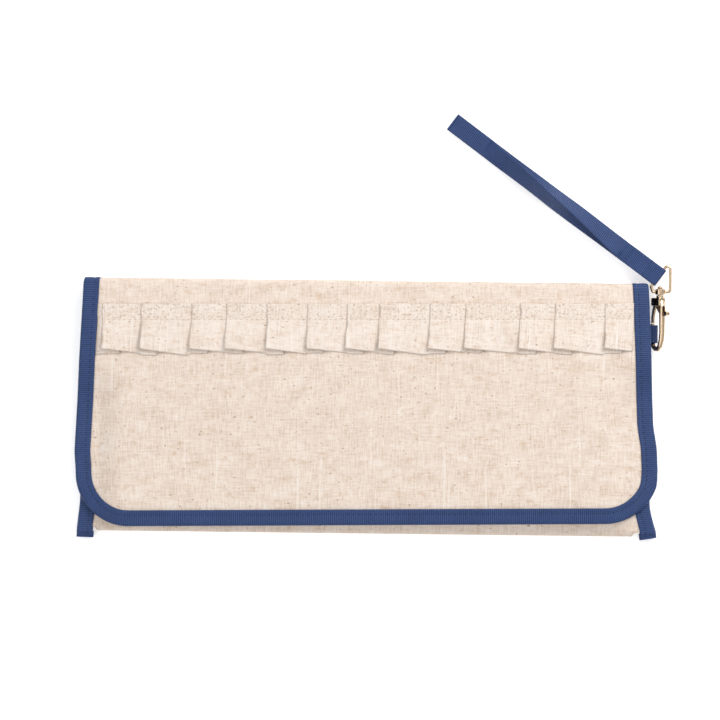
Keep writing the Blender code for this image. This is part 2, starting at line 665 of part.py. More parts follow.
def rivet_shape(x, low, high):
    """The swivel's post and its turned-over head, as one turned profile."""
    shape = bmesh.new()
    head = RIVET_HEAD_RADIUS
    profile = [(0, low), (POST_RADIUS, low), (POST_RADIUS, high), (head, high),
               (head, high + 0.5 * MM), (0.6 * head, high + MM), (0, high + 1.1 * MM)]
    verts = [shape.verts.new((r, y, 0)) for r, y in profile]
    edges = [shape.edges.new(pair) for pair in zip(verts, verts[1:])]
    bmesh.ops.spin(shape, geom=verts + edges, cent=(0, 0, 0), axis=(0, 1, 0), angle=2 * math.pi,
                   steps=20, use_merge=True)
    bmesh.ops.remove_doubles(shape, verts=shape.verts, dist=1e-6)
    bmesh.ops.translate(shape, verts=shape.verts, vec=(x, 0, 0))
    return shape


def rounded(corners, radii, steps=5):
    """Points round a closed outline whose corners are arcs."""
    points = []
    count = len(corners)
    for i, corner in enumerate(corners):
        here = Vector(corner)
        before = (Vector(corners[i - 1]) - here).normalized()
        after = (Vector(corners[(i + 1) % count]) - here).normalized()
        half_angle = before.angle(after) / 2
        reach = radii[i] / math.tan(half_angle)
        centre = here + (before + after).normalized() * radii[i] / math.sin(half_angle)
        start = (here + before * reach - centre).normalized()
        end = (here + after * reach - centre).normalized()
        for k in range(steps + 1):
            points.append(centre + radii[i] * start.slerp(end, k / steps))
    return points


def swivel_eye(swivel):
    """The loop that the strap runs through, on the barrel that turns on the rivet."""
    x, y, z = swivel
    holder = empty("swivel_frame", swivel)
    heading = math.radians(STRAP_HEADING)
    bar_along = Vector((math.sin(heading), -math.cos(heading), 0))
    reach = STRAP_WIDTH / 2 + GAP + EYE_WIRE
    bar_middle = Vector((x - EYE_BAR_LEFT, y + EYE_BAR_AHEAD, z))
    base_y = y + BARREL_LENGTH / 2
    arm_x = x + EYE_ARM_RIGHT
    # The bend from the bar to the arm is the circle that touches both just past the ribbon's edge.
    bend = (arm_x - (bar_middle + bar_along * reach).x) / (1 - math.cos(heading))
    meet = bar_middle + bar_along * (arm_x - bar_middle.x) / bar_along.x
    corners = [
        bar_middle - bar_along * (reach + 0.2 * MM),
        Vector((x - 3.6 * MM, base_y, z)),
        Vector((arm_x, base_y, z)),
        meet,
    ]
    route = rounded(corners, [0.9 * MM, 0.9 * MM, 1.0 * MM, bend], steps=8)
    wire = tube(route, [EYE_WIRE] * len(route), 10, closed_path=True)
    wire.transform(Matrix.Translation(-Vector(swivel)))
    obj = node("swivel_eye", wire, gold(), holder, smooth=50)
    barrel = cylinder(BARREL_RADIUS, (0, 0, 0), (0, BARREL_LENGTH, 0), 24)
    cut(obj, cutter("eye_barrel", barrel, holder), "UNION")
    bore = cylinder(POST_RADIUS + POST_CLEARANCE, (0, -MM, 0), (0, BARREL_LENGTH + MM, 0), 24)
    cut(obj, cutter("eye_bore", bore, holder))
    return bar_middle


def smooth_share(value):
    value = min(max(value, 0), 1)
    return value * value * (3 - 2 * value)


def ribbon_run(name, centre_line, bar_middle, holder):
    """A ribbon along (distance, height) points, flat across its width."""
    heading = math.radians(STRAP_HEADING)
    along = Vector((math.cos(heading), math.sin(heading), 0))
    across = Vector((-along.y, along.x, 0)) * STRAP_WIDTH / 2
    sections = []
    last = len(centre_line) - 1
    for i, (t, height) in enumerate(centre_line):
        before = centre_line[max(i - 1, 0)]
        after = centre_line[min(i + 1, last)]
        run = Vector((after[0] - before[0], after[1] - before[1])).normalized()
        lift = (along * -run.y + Vector((0, 0, run.x))) * STRAP_RIBBON / 2
        middle = along * t + Vector((0, 0, height))
        sections.append([middle - across - lift, middle + across - lift, middle + across + lift,
                         middle - across + lift])
    return node(name, loft(sections), ribbon(), holder, smooth=40)


def strap(bar_middle):
    """The wrist strap: one ribbon that doubles back on itself and wraps the eye's bar."""
    holder = empty("strap_frame", bar_middle)
    floor = -bar_middle.z
    layer = STRAP_RIBBON + GAP
    wrap_radius = EYE_WIRE + GAP + STRAP_RIBBON / 2
    far_middle = floor + 0.2 * MM + STRAP_RIBBON / 2 + layer

    def middle(t):
        return far_middle * smooth_share(t / STRAP_DROP_LENGTH)

    def spread(t):
        return layer + (wrap_radius - layer) * (1 - smooth_share(t / STRAP_CLOSE))

    def bulge(t):
        share = min(max((t - STRAP_SEWN) / (STRAP_LENGTH - STRAP_SEWN), 0), 1)
        return STRAP_BULGE * math.sin(math.pi * share) ** 2

    steps = 26
    end = STRAP_LENGTH - STRAP_FOLD
    lower = [WRAP_REACH + GAP + (end - WRAP_REACH - GAP) * k / steps for k in range(steps + 1)]
    ribbon_run("strap_lower_run", [(t, middle(t) - spread(t)) for t in lower], bar_middle, holder)
    upper = [UPPER_START + (end - UPPER_START) * k / steps for k in range(steps + 1)]
    ribbon_run("strap_upper_run", [(t, middle(t) + bulge(t)) for t in upper], bar_middle, holder)
    fold_middle = middle(end) - layer / 2
    turn = [math.pi * k / 8 for k in range(9)]
    far_fold = [(end + GAP + layer / 2 * math.sin(a), fold_middle - layer / 2 * math.cos(a)) for a in turn]
    ribbon_run("strap_far_fold", far_fold, bar_middle, holder)
    wrap = [(WRAP_REACH, middle(WRAP_REACH) - spread(WRAP_REACH))]
    for k in range(13):
        angle = math.pi * k / 12
        wrap.append((-wrap_radius * math.sin(angle), -wrap_radius * math.cos(angle)))
    top = [STRAP_SEWN * (k + 1) / 8 for k in range(8)]
    wrap += [(t, middle(t) + spread(t)) for t in top]
    ribbon_run("strap_wrap", wrap, bar_middle, holder)


def build():
    clear_scene()
    back_panel()
    front_stuffing = front_panel()
    bottom_fold()
    tab_middle, tab_hole = side_tab()
    side_bindings(tab_hole)
    mouth_binding()
    brush_sleeve()
    spine()
    flap_stuffing = flap()
    ruffle()
    magnets(front_stuffing, flap_stuffing)
    strap(swivel_eye(clasp(tab_middle)))


build()
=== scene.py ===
"""Looks of the brush case: slubby linen, ribbed navy ribbon and a pale gold swivel hook.

Each section is one piece or group of like pieces, in the order that the case is put together.
"""

import json
import math

import bmesh
import bpy
from mathutils import Matrix, Vector, noise


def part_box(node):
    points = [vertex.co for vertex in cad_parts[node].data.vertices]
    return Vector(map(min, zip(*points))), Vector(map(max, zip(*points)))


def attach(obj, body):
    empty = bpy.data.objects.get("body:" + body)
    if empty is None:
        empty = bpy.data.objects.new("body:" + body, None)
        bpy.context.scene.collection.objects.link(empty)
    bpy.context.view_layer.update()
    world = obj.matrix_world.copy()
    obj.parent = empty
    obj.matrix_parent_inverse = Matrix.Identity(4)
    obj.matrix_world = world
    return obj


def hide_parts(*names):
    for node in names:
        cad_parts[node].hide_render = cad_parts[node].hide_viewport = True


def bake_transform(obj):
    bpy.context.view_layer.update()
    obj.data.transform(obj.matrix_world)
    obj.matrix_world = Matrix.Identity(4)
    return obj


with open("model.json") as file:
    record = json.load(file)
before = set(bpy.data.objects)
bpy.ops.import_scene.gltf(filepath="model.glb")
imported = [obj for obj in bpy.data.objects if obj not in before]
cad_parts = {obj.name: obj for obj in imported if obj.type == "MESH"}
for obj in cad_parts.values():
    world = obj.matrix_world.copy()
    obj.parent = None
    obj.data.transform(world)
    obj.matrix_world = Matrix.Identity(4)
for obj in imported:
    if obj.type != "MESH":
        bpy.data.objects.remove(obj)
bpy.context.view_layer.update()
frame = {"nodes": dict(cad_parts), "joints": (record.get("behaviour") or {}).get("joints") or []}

# Body cloth. One length of slubby linen makes the spine, the back panel, the bottom fold and the
# pocket's front. It is cut flat, folded up at the bottom and closed by the bindings at its sides,
# and the pocket stands a little proud of its seams.
MM = 0.001
OUTER = 0.6 * MM
WADDING = 0.8 * MM
LINING = 0.4 * MM
GAP = 0.3 * MM
PANEL = OUTER + WADDING + LINING + 2 * GAP
CUT_EDGE = 3.0 * MM  # how far inside a binding the cloth ends
UNDER_RIBBON = 0.55 * MM  # how far the cloth dips under a binding
UNDER_LAP = 0.6 * MM  # how far under a binding's edge that dip is full
UNDER_EASE = 1.6 * MM  # how long its slope is
RIBBON_REACH = 8.0 * MM
MOUTH_SHIFT = 1.6 * MM  # brings the dip up to the pocket mouth's narrower ribbon
FOLD_PULL = 1.6 * MM  # how far the ribbons pull in the bottom fold
SIDE_SLOPE = 14 * MM
BOTTOM_SLOPE = 8 * MM
RIM = 8 * MM
BILLOW = 0.35 * MM
BILLOW_SIZE = 34 * MM
top_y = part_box("spine_outer")[1].y
spine_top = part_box("spine_outer")[1].z
bottom_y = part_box("bottom_fold")[0].y
tail_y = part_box("left_side_binding")[0].y
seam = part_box("left_side_binding")[1].z
pocket_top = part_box("front_outer")[1].z
mouth_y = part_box("pocket_mouth_binding")[1].y
mouth_width = mouth_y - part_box("pocket_mouth_binding")[0].y
top_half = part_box("right_spine_binding")[1].x
tail_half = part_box("right_side_binding")[1].x
fold_y = bottom_y + seam / 2


def smooth(share):
    share = min(max(share, 0.0), 1.0)
    return share * share * (3 - 2 * share)


def swell(share):
    """Rises steeply and then levels out, as stuffed cloth does from a seam."""
    share = min(max(share, 0.0), 1.0)
    return math.sin(share * math.pi / 2) ** 1.3


def body_edge(y):
    return top_half + (tail_half - top_half) * (top_y - y) / (top_y - tail_y)


def front_height(x, y):
    """The outer face of the pocket's front."""
    from_side = body_edge(y) - abs(x) - RIM
    share = swell(from_side / SIDE_SLOPE) * swell((y - fold_y) / BOTTOM_SLOPE)
    return seam + (pocket_top - seam) * share


def under_ribbon(from_edge):
    """How far cloth this far from a bound edge dips under the ribbon."""
    return UNDER_RIBBON * (1 - smooth((from_edge - RIBBON_REACH + UNDER_LAP) / UNDER_EASE))


def waver(x, y, size, seed):
    """A slow unevenness between -1 and 1."""
    return noise.noise(Vector((x / size, y / size, seed)))


def cloth(name, columns, rows, place, thickness, finish, body, relief=None):
    """A piece of cloth. place(a, b), with a and b from 0 to 1, gives a point and its place in the
    uncut cloth, in metres. relief(u, v) lifts it off that surface."""
    shape = bmesh.new()
    bmesh.ops.create_grid(shape, x_segments=columns, y_segments=rows, size=0.5)
    cut = {}
    for vert in shape.verts:
        vert.co, cut[vert] = place(vert.co.x + 0.5, vert.co.y + 0.5)
    threads = shape.loops.layers.uv.new("threads")
    for face in shape.faces:
        for loop in face.loops:
            loop[threads].uv = cut[loop.vert]
    if relief:
        shape.normal_update()
        lifts = [(vert, vert.normal * relief(*cut[vert])) for vert in shape.verts]
        for vert, lift in lifts:
            vert.co += lift
    return stand(name, shape, finish, body, thickness)


def stand(name, shape, finish, body, thickness=None):
    """Makes a bmesh a piece that moves with a body of the case."""
    mesh = bpy.data.meshes.new(name)
    shape.to_mesh(mesh)
    shape.free()
    mesh.shade_smooth()
    mesh.materials.append(finish)
    piece = bpy.data.objects.new(name, mesh)
    bpy.context.scene.collection.objects.link(piece)
    if thickness:
        wall = piece.modifiers.new("thickness", "SOLIDIFY")
        wall.thickness = thickness
        wall.offset = 0
    if body:
        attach(piece, body)
    return piece


def new_material(name, roughness, metallic=0.0):
    material = bpy.data.materials.new(name)
    material.use_nodes = True
    shader = material.node_tree.nodes["Principled BSDF"]
    shader.inputs["Roughness"].default_value = roughness
    shader.inputs["Metallic"].default_value = metallic
    return material, material.node_tree, shader


def srgb(red, green, blue):
    """A screen colour, 0 to 255, as the linear one that a shader takes."""
    linear = []
    for value in (red, green, blue):
        value /= 255
        linear.append(value / 12.92 if value < 0.04045 else ((value + 0.055) / 1.055) ** 2.4)
    return (*linear, 1.0)


def join(tree, source, target):
    tree.links.new(source, target)


def threads_at(tree, scale):
    """The cloth's own directions, scaled to this many cycles per metre each way."""
    found = tree.nodes.new("ShaderNodeUVMap")
    found.uv_map = "threads"
    mapping = tree.nodes.new("ShaderNodeMapping")
    mapping.inputs["Scale"].default_value = (*scale, 1.0)
    join(tree, found.outputs["UV"], mapping.inputs["Vector"])
    return mapping.outputs["Vector"]


def speckle(tree, vector, detail, roughness):
    grain = tree.nodes.new("ShaderNodeTexNoise")
    grain.inputs["Scale"].default_value = 1.0
    grain.inputs["Detail"].default_value = detail
    grain.inputs["Roughness"].default_value = roughness
    join(tree, vector, grain.inputs["Vector"])
    return grain.outputs["Fac"]


def math_node(tree, operation, first, second):
    made = tree.nodes.new("ShaderNodeMath")
    made.operation = operation
    for socket, value in zip(made.inputs, (first, second)):
        if isinstance(value, (int, float)):
            socket.default_value = value
        else:
            join(tree, value, socket)
    return made.outputs["Value"]


def weighted(tree, first, first_weight, second, second_weight):
    """The sum of two values, each times its weight."""
    first = math_node(tree, "MULTIPLY", first, first_weight)
    second = math_node(tree, "MULTIPLY", second, second_weight)
    return math_node(tree, "ADD", first, second)


def past_floor(tree, value, floor, gain, most):
    """How far a value rises past a floor, times a gain, and never more than most."""
    rise = math_node(tree, "MULTIPLY", math_node(tree, "SUBTRACT", value, floor), gain)
    return math_node(tree, "MINIMUM", math_node(tree, "MAXIMUM", rise, 0), most)


def one_axis(tree, vector, axis):
    split = tree.nodes.new("ShaderNodeSeparateXYZ")
    join(tree, vector, split.inputs["Vector"])
    return split.outputs[axis]


def ramp(tree, value, stops):
    made = tree.nodes.new("ShaderNodeValToRGB")
    band = made.color_ramp
    while len(band.elements) < len(stops):
        band.elements.new(0.5)
    for element, (place, colour) in zip(band.elements, stops):
        element.position = place
        element.color = colour
    join(tree, value, made.inputs["Fac"])
    return made.outputs["Color"]


def mix(tree, share, first, second):
    made = tree.nodes.new("ShaderNodeMix")
    made.data_type = "RGBA"
    for name, value in (("Factor", share), ("A", first), ("B", second)):
        named = [socket for socket in made.inputs if socket.name == name]
        socket = next(found for found in named if name == "Factor" or found.type == "RGBA")
        if isinstance(value, bpy.types.NodeSocket):
            join(tree, value, socket)
        else:
            socket.default_value = value
    return next(s for s in made.outputs if s.type == "RGBA")


def bump(tree, shader, height, distance):
    made = tree.nodes.new("ShaderNodeBump")
    made.inputs["Strength"].default_value = 1.0
    made.inputs["Distance"].default_value = distance
    join(tree, height, made.inputs["Height"])
    join(tree, made.outputs["Normal"], shader.inputs["Normal"])


def wave(tree, vector, axis, cycles):
    """A sine wave along one direction of the cloth, from -1 to 1."""
    turns = math_node(tree, "MULTIPLY", one_axis(tree, vector, axis), cycles * 2 * math.pi)
    return math_node(tree, "SINE", turns, 0)


def linen_cloth(name, pale, middle, dark, heading=0.0):
    """Unbleached linen: uneven warp and weft threads, thick slubs and flecks of straw. A gathered
    strip is flecked more closely down to its heading."""
    material, tree, shader = new_material(name, 0.92)
    shader.inputs["Specular IOR Level"].default_value = 0.2
    warp = speckle(tree, threads_at(tree, (1250, 130)), 3, 0.65)
    weft = speckle(tree, threads_at(tree, (150, 1150)), 3, 0.65)
    patches = speckle(tree, threads_at(tree, (75, 130)), 4, 0.65)
    threads = weighted(tree, warp, 0.40, weft, 0.30)
    tone = math_node(tree, "ADD", threads, math_node(tree, "MULTIPLY", patches, 0.30))
    colour = ramp(tree, tone, [(0.33, dark), (0.50, middle), (0.66, pale)])
    slubs = speckle(tree, threads_at(tree, (520, 14)), 1, 0.4)
    colour = mix(tree, past_floor(tree, slubs, 0.66, 6, 0.6), colour, pale)
    flecks = speckle(tree, threads_at(tree, (480, 700)), 1, 0.5)
    fleck_share = past_floor(tree, flecks, 0.66, 6, 0.7)
    straw = speckle(tree, threads_at(tree, (150, 240)), 3, 0.6)
    straw_share = past_floor(tree, straw, 0.55, 2.2, 0.46)
    colour = mix(tree, straw_share, colour, srgb(202, 166, 132))
    if heading:
        down = one_axis(tree, threads_at(tree, (1, 1)), "Y")
        in_heading = math_node(tree, "LESS_THAN", down, heading)
        pricks = speckle(tree, threads_at(tree, (800, 820)), 1, 0.5)
        prick_share = math_node(tree, "MULTIPLY", past_floor(tree, pricks, 0.57, 5, 0.5), in_heading)
        colour = mix(tree, prick_share, colour, srgb(172, 154, 136))
    colour = mix(tree, fleck_share, colour, srgb(164, 130, 98))
    join(tree, colour, shader.inputs["Base Color"])
    flat = threads_at(tree, (1, 1))
    weave = math_node(tree, "MULTIPLY", wave(tree, flat, 0, 1300), wave(tree, flat, 1, 1300))
    bump(tree, shader, weighted(tree, weave, 0.25, threads, 2.2), 0.16 * MM)
    return material


LINEN = linen_cloth("slubby_linen", srgb(243, 233, 224), srgb(230, 214, 200), srgb(203, 180, 158))
fold_radius = seam / 2 - OUTER / 2
FOLD_DROP = 0.4 * MM  # how far the flap falls towards its fold
spine_edge = spine_top - FOLD_DROP
spine_run = spine_edge - OUTER / 2
back_run = top_y - OUTER / 2 - fold_y
fold_run = math.pi * fold_radius
front_run = mouth_y - CUT_EDGE - fold_y
body_length = spine_run + back_run + fold_run + front_run


def body_place(a, b):
    s = b * body_length
    if s < spine_run:
        y = top_y - OUTER / 2
        z = spine_edge - s
    elif s < spine_run + back_run:
        y = top_y - OUTER / 2 - (s - spine_run)
        z = OUTER / 2
    elif s < spine_run + back_run + fold_run:
        turn = (s - spine_run - back_run) / fold_radius
        y = fold_y - fold_radius * math.sin(turn)
        z = seam / 2 - fold_radius * math.cos(turn)
    else:
        y = fold_y + s - spine_run - back_run - fold_run
        z = None
    edge = body_edge(y) - CUT_EDGE
    x = (2 * a - 1) * edge
    dip = under_ribbon(edge + CUT_EDGE - abs(x))
    if z is None:
        z = front_height(x, y) - OUTER / 2 - dip - under_ribbon(mouth_y - y + MOUTH_SHIFT)
    elif s < spine_run:
        y -= dip
    elif s < spine_run + back_run:
        z += dip
    else:
        y += (dip + FOLD_PULL * dip / UNDER_RIBBON) * math.sin(turn)
    return (x, y, z), (x, s)


def body_relief(u, v):
    settled = smooth((v - spine_run - back_run) / (20 * MM))
    return BILLOW * waver(u, v, BILLOW_SIZE, 1.7) * settled


body_cloth = cloth("body_cloth", 176, 152, body_place, OUTER, LINEN, "case", body_relief)
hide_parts("spine_outer", "back_outer", "bottom_fold", "front_outer")

# Interlinings. White needle-punched wadding is laid between the linen and the lining of the back
# panel, the pocket's front and the spine, and caught in the same seams, so that the case keeps
# its shape.


def wadding_felt():
    """White wadding: matted fibres with soft clumps."""
    material, tree, shader = new_material("wadding_felt", 0.97)
    shader.inputs["Specular IOR Level"].default_value = 0.1
    fibres = speckle(tree, threads_at(tree, (900, 700)), 4, 0.7)
    clumps = speckle(tree, threads_at(tree, (90, 90)), 2, 0.5)
    tone = weighted(tree, fibres, 0.6, clumps, 0.4)
    colour = ramp(tree, tone, [(0.3, srgb(216, 214, 208)), (0.7, srgb(246, 245, 240))])
    join(tree, colour, shader.inputs["Base Color"])
    bump(tree, shader, tone, 0.3 * MM)
    return material


FELT = wadding_felt()


def flat_layer(name, low_y, high_y, z, thickness, finish, inset, node):
    """A layer of the back panel."""
    def place(a, b):
        y = low_y + b * (high_y - low_y)
        x = (2 * a - 1) * (body_edge(y) - inset)
        return (x, y, z), (x, y)

    piece = cloth(name, 60, 26, place, thickness, finish, "case")
    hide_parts(node)


def front_layer(name, depth, thickness, finish, inset, node, end_y):
    """A layer of the pocket's front, this far below its outer face."""
    def place(a, b):
        y = fold_y + b * (end_y - fold_y)
        x = (2 * a - 1) * (body_edge(y) - inset)
        settle = 1 - 0.35 * (1 - smooth((y - fold_y) / (3 * MM)))
        return (x, y, front_height(x, y) - depth * settle), (x, y)

    piece = cloth(name, 130, 64, place, thickness, finish, "case")
    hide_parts(node)


def spine_layer(name, y, low_z, thickness, finish, inset, node):
    """A layer of the spine."""
    def place(a, b):
        x = (2 * a - 1) * (top_half - inset)
        z = low_z + b * (spine_top - low_z)
        return (x, y, z), (x, z)

    piece = cloth(name, 60, 5, place, thickness, finish, "case")
    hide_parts(node)


SEAM_ALLOWANCE = 4 * MM
MOUTH_TURNING = 1.2 * MM  # how far below the mouth's edge the inner layers end
lining_top = top_y - PANEL - GAP
flat_layer("back_wadding", fold_y, lining_top, OUTER + GAP + WADDING / 2, WADDING, FELT, SEAM_ALLOWANCE,
           "back_interlining")
front_layer("front_wadding", OUTER + GAP + WADDING / 2, WADDING, FELT, SEAM_ALLOWANCE,
            "front_interlining", mouth_y - MOUTH_TURNING)
spine_layer("spine_wadding", top_y - OUTER - GAP - WADDING / 2, PANEL + GAP, WADDING, FELT, 1.2 * MM,
            "spine_interlining")

# Linings. Plain navy cotton faces everything that the brushes touch: the back panel, the inside
# of the pocket's front and the spine.


def cotton_lining():
    """Navy cotton: a tight plain weave with a little fading on the thread tops."""
    material, tree, shader = new_material("navy_cotton", 0.85)
    shader.inputs["Specular IOR Level"].default_value = 0.25
    warp = speckle(tree, threads_at(tree, (1900, 90)), 2, 0.5)
    weft = speckle(tree, threads_at(tree, (90, 1900)), 2, 0.5)
    tone = math_node(tree, "MULTIPLY", math_node(tree, "ADD", warp, weft), 0.5)
    colour = ramp(tree, tone, [(0.35, srgb(34, 47, 82)), (0.65, srgb(58, 75, 116))])
    join(tree, colour, shader.inputs["Base Color"])
    flat = threads_at(tree, (1, 1))
    weave = math_node(tree, "MULTIPLY", wave(tree, flat, 0, 2000), wave(tree, flat, 1, 2000))
    bump(tree, shader, math_node(tree, "ADD", weave, tone), 0.05 * MM)
    return material


COTTON = cotton_lining()
flat_layer("back_lining_cloth", fold_y, lining_top + 0.6 * MM, PANEL - LINING / 2, LINING, COTTON,
           SEAM_ALLOWANCE, "back_lining")
front_layer("front_lining_cloth", PANEL - LINING / 2, LINING, COTTON, SEAM_ALLOWANCE,
            "front_lining", mouth_y - MOUTH_TURNING)
spine_layer("spine_lining_cloth", top_y - PANEL + LINING / 2, PANEL, LINING, COTTON, 1.2 * MM,
            "spine_lining")

# Brush sleeve. A second cotton cloth is sewn down on the back lining in six upright rows, so that
# it stands off it in five soft slots for the handles.
SLOTS = 5
SLEEVE_SEAM = 1.5 * MM
SLEEVE_FULLNESS = 1.12  # cloth in the sleeve, to the width that it covers
sleeve_low, sleeve_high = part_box("brush_sleeve")
sleeve_width = sleeve_high.x - sleeve_low.x
slot_pitch = (sleeve_width - 2 * SLEEVE_SEAM) / SLOTS


def sleeve_height(x):
    across = (x - sleeve_low.x - SLEEVE_SEAM) / slot_pitch
    share = min(max(across, 0), SLOTS) % 1
    return (1 - abs(2 * share - 1) ** 5) * smooth(min(share, 1 - share) * slot_pitch / (3.5 * MM))


def sleeve_place(a, b):
    x = sleeve_low.x + a * sleeve_width
    y = sleeve_low.y + b * (sleeve_high.y - sleeve_low.y)
    low = sleeve_low.z + LINING / 2
    full = sleeve_high.z - LINING / 2 - 0.15 * MM
    return (x, y, low + (full - low) * sleeve_height(x)), (x * SLEEVE_FULLNESS, y)


def sleeve_relief(u, v):
    return 0.12 * MM * waver(u, v, 26 * MM, 5.1)


brush_sleeve = cloth("brush_sleeve_cloth", 232, 46, sleeve_place, LINING, COTTON, "case", sleeve_relief)
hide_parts("brush_sleeve")


def grain_of_piece(tree, scale, detail):
    """Fine noise that is fixed to the piece and not to its threads."""
    coordinates = tree.nodes.new("ShaderNodeTexCoord")
    grain = tree.nodes.new("ShaderNodeTexNoise")
    grain.inputs["Scale"].default_value = scale
    grain.inputs["Detail"].default_value = detail
    join(tree, coordinates.outputs["Object"], grain.inputs["Vector"])
    return grain.outputs["Fac"]


def thread(name, colour):
    """Twisted sewing thread."""
    material, tree, shader = new_material(name, 0.6)
    strands = grain_of_piece(tree, 3000, 2)
    light = tuple(min(1.0, 1.35 * value) for value in colour[:3])
    tone = ramp(tree, strands, [(0.35, colour), (0.65, (*light, 1.0))])
    join(tree, tone, shader.inputs["Base Color"])
    bump(tree, shader, strands, 0.05 * MM)
    return material


NAVY_THREAD = thread("navy_thread", srgb(20, 31, 62))
LINEN_THREAD = thread("linen_thread", srgb(200, 182, 162))


def stitching(name, spots, finish, body, length=1.7 * MM, width=0.42 * MM):
    """Rows of stitches. Each spot is a point, the way that the row runs and the way out of the cloth."""
    shape = bmesh.new()
    for point, along, out in spots:
        along = Vector(along).normalized()
        out = (Vector(out) - along * along.dot(Vector(out))).normalized()
        turn = Matrix((along, out.cross(along), out)).transposed().to_4x4()
        size = Matrix.Diagonal((length / 2, width / 2, width / 2, 1))
        bmesh.ops.create_icosphere(shape, subdivisions=1, radius=1.0,
                                   matrix=Matrix.Translation(point) @ turn @ size)
    bmesh.ops.recalc_face_normals(shape, faces=shape.faces)
    return stand(name, shape, finish, body)


def stitch_places(total, pitch):
    count = max(1, round(total / pitch))
    return [(k + 0.5) * total / count for k in range(count)]


sleeve_rows = []
for slot_line in range(SLOTS + 1):
    for s in stitch_places(sleeve_high.y - sleeve_low.y, 3 * MM):
        x = sleeve_low.x + SLEEVE_SEAM + slot_line * slot_pitch
        spot = Vector((x, sleeve_low.y + s, sleeve_low.z + LINING))
        sleeve_rows.append((spot, (0, 1, 0), (0, 0, 1)))
sleeve_stitches = stitching("sleeve_stitching", sleeve_rows, NAVY_THREAD, "case")

# Side bindings. Navy ribbed ribbon is folded over each side seam and stitched through. It runs past
# the bottom fold in a short tail that flares out, and its end is tucked in and pinched flat.
RIBBON = 0.5 * MM
RIB = 0.95 * MM
RIBBON_STITCH = 5.4 * MM  # from the folded edge to the line of stitches
NOSE = 1.2 * MM
FACE_SHARE = 0.42  # of a folded ribbon's width, on each face; the rest goes round the edge
STITCH_SHARE = FACE_SHARE * (RIBBON_REACH - RIBBON_STITCH) / (RIBBON_REACH - NOSE)
STITCH_PITCH = 2.8 * MM
TAIL_PINCH = 3 * MM  # how far up a tail is pinched flat
TAIL_HEIGHT = 2.4 * MM
FLARE_START = 14.5 * MM  # above the bottom fold
FLARE_RUN = 19 * MM


def grosgrain():
    """Navy ribbon with raised ribs across it and a fine sheen of filling threads between. The ribs are
    also painted into the colour: a painted highlight on each crest and painted shade in each groove.
    """
    material, tree, shader = new_material("navy_ribbon", 0.62)
    shader.inputs["Specular IOR Level"].default_value = 0.35
    flat = threads_at(tree, (1, 1))
    rib_relief_and_shade = math_node(tree, "ADD", math_node(tree, "MULTIPLY", wave(tree, flat, 0, 1 / RIB), 0.5), 0.5)
    filling = speckle(tree, threads_at(tree, (500, 2600)), 3, 0.6)
    wear = speckle(tree, threads_at(tree, (70, 120)), 3, 0.6)
    # The rib wave also sets the colour: its crests are a painted highlight and its grooves painted
    # shade.
    tone = weighted(tree, rib_relief_and_shade, 0.40, filling, 0.36)
    tone = math_node(tree, "ADD", tone, math_node(tree, "MULTIPLY", wear, 0.24))
    colour = ramp(tree, tone, [(0.22, srgb(23, 39, 78)), (0.50, srgb(39, 61, 107)),
                               (0.78, srgb(63, 87, 134))])
    join(tree, colour, shader.inputs["Base Color"])
    height = math_node(tree, "ADD", rib_relief_and_shade, math_node(tree, "MULTIPLY", filling, 0.35))
    bump(tree, shader, height, 0.08 * MM)
    return material


NAVY_RIBBON = grosgrain()


def ribs(u, v):
    return 0.03 * MM * math.sin(2 * math.pi * u / RIB)


def folded_over(c, height, reach):
    """A ribbon folded over an edge, seen end on: how far in, how high, and how far across it."""
    low, high = RIBBON / 2, height - RIBBON / 2
    across = c * 2 * (reach + height / 2)
    if c < FACE_SHARE:
        return reach + (NOSE - reach) * c / FACE_SHARE, high, across
    if c > 1 - FACE_SHARE:
        return NOSE + (reach - NOSE) * (c - 1 + FACE_SHARE) / FACE_SHARE, low, across
    turn = math.pi * (c - FACE_SHARE) / (1 - 2 * FACE_SHARE)
    inset = NOSE - (NOSE - RIBBON / 2) * math.sin(turn)
    return inset, (high + low) / 2 + (high - low) / 2 * math.cos(turn), across


def groove(inset):
    """How far the line of stitches pulls the ribbon in."""
    return 0.2 * MM * math.exp(-((inset - RIBBON_STITCH) / (0.6 * MM)) ** 2)


def side_binding(name, side, node, flare, end_y, slant):
    single = PANEL + GAP + RIBBON
    high_y = top_y - PANEL - GAP
    tucked = 3 * MM  # ribbon turned in at the tail's end
    length = high_y - end_y

    def section(s, c):
        y = end_y + abs(s)
        height = seam + (single - seam) * smooth((y - mouth_y) / (6 * MM))
        pinched = 1 - smooth((y - end_y) / TAIL_PINCH)
        height -= (seam - TAIL_HEIGHT) * pinched
        shrink = 0.55 * MM if s < 0 else 0.0
        inset, z, across = folded_over(c, height - 2 * shrink, RIBBON_REACH)
        middle = (seam - height) / 2 * pinched
        z += shrink + middle + (groove(inset) if z < height / 2 else -groove(inset))
        inset += shrink
        away = flare * smooth((fold_y + FLARE_START - y) / FLARE_RUN)
        x = body_edge(y) + away - inset
        y += slant * (1 - inset / RIBBON_REACH) * smooth((end_y + 9 * MM - y) / (8 * MM))
        return Vector((side * x, y, z)), across

    def place(a, b):
        s = b * (length + tucked) - tucked
        point, across = section(s, a)
        return point, (s, across)

    ribbon = cloth(name, 26, 460, place, RIBBON, NAVY_RIBBON, "case", ribs)
    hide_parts(node)
    spots = []
    for s in stitch_places(length - 3 * MM, STITCH_PITCH):
        for share, out in ((STITCH_SHARE, 1), (1 - STITCH_SHARE, -1)):
            spot = section(s + 1.5 * MM, share)[0] + Vector((0, 0, out * 0.26 * MM))
            spots.append((spot, (0, 1, 0), (0, 0, out)))
    stitches = stitching(name + "_stitching", spots, NAVY_THREAD, "case")


side_binding("left_side_ribbon", -1, "left_side_binding", 1.2 * MM, tail_y - 0.9 * MM, 0.2 * MM)
side_binding("right_side_ribbon", 1, "right_side_binding", 3.2 * MM, tail_y + 0.9 * MM, 1.3 * MM)

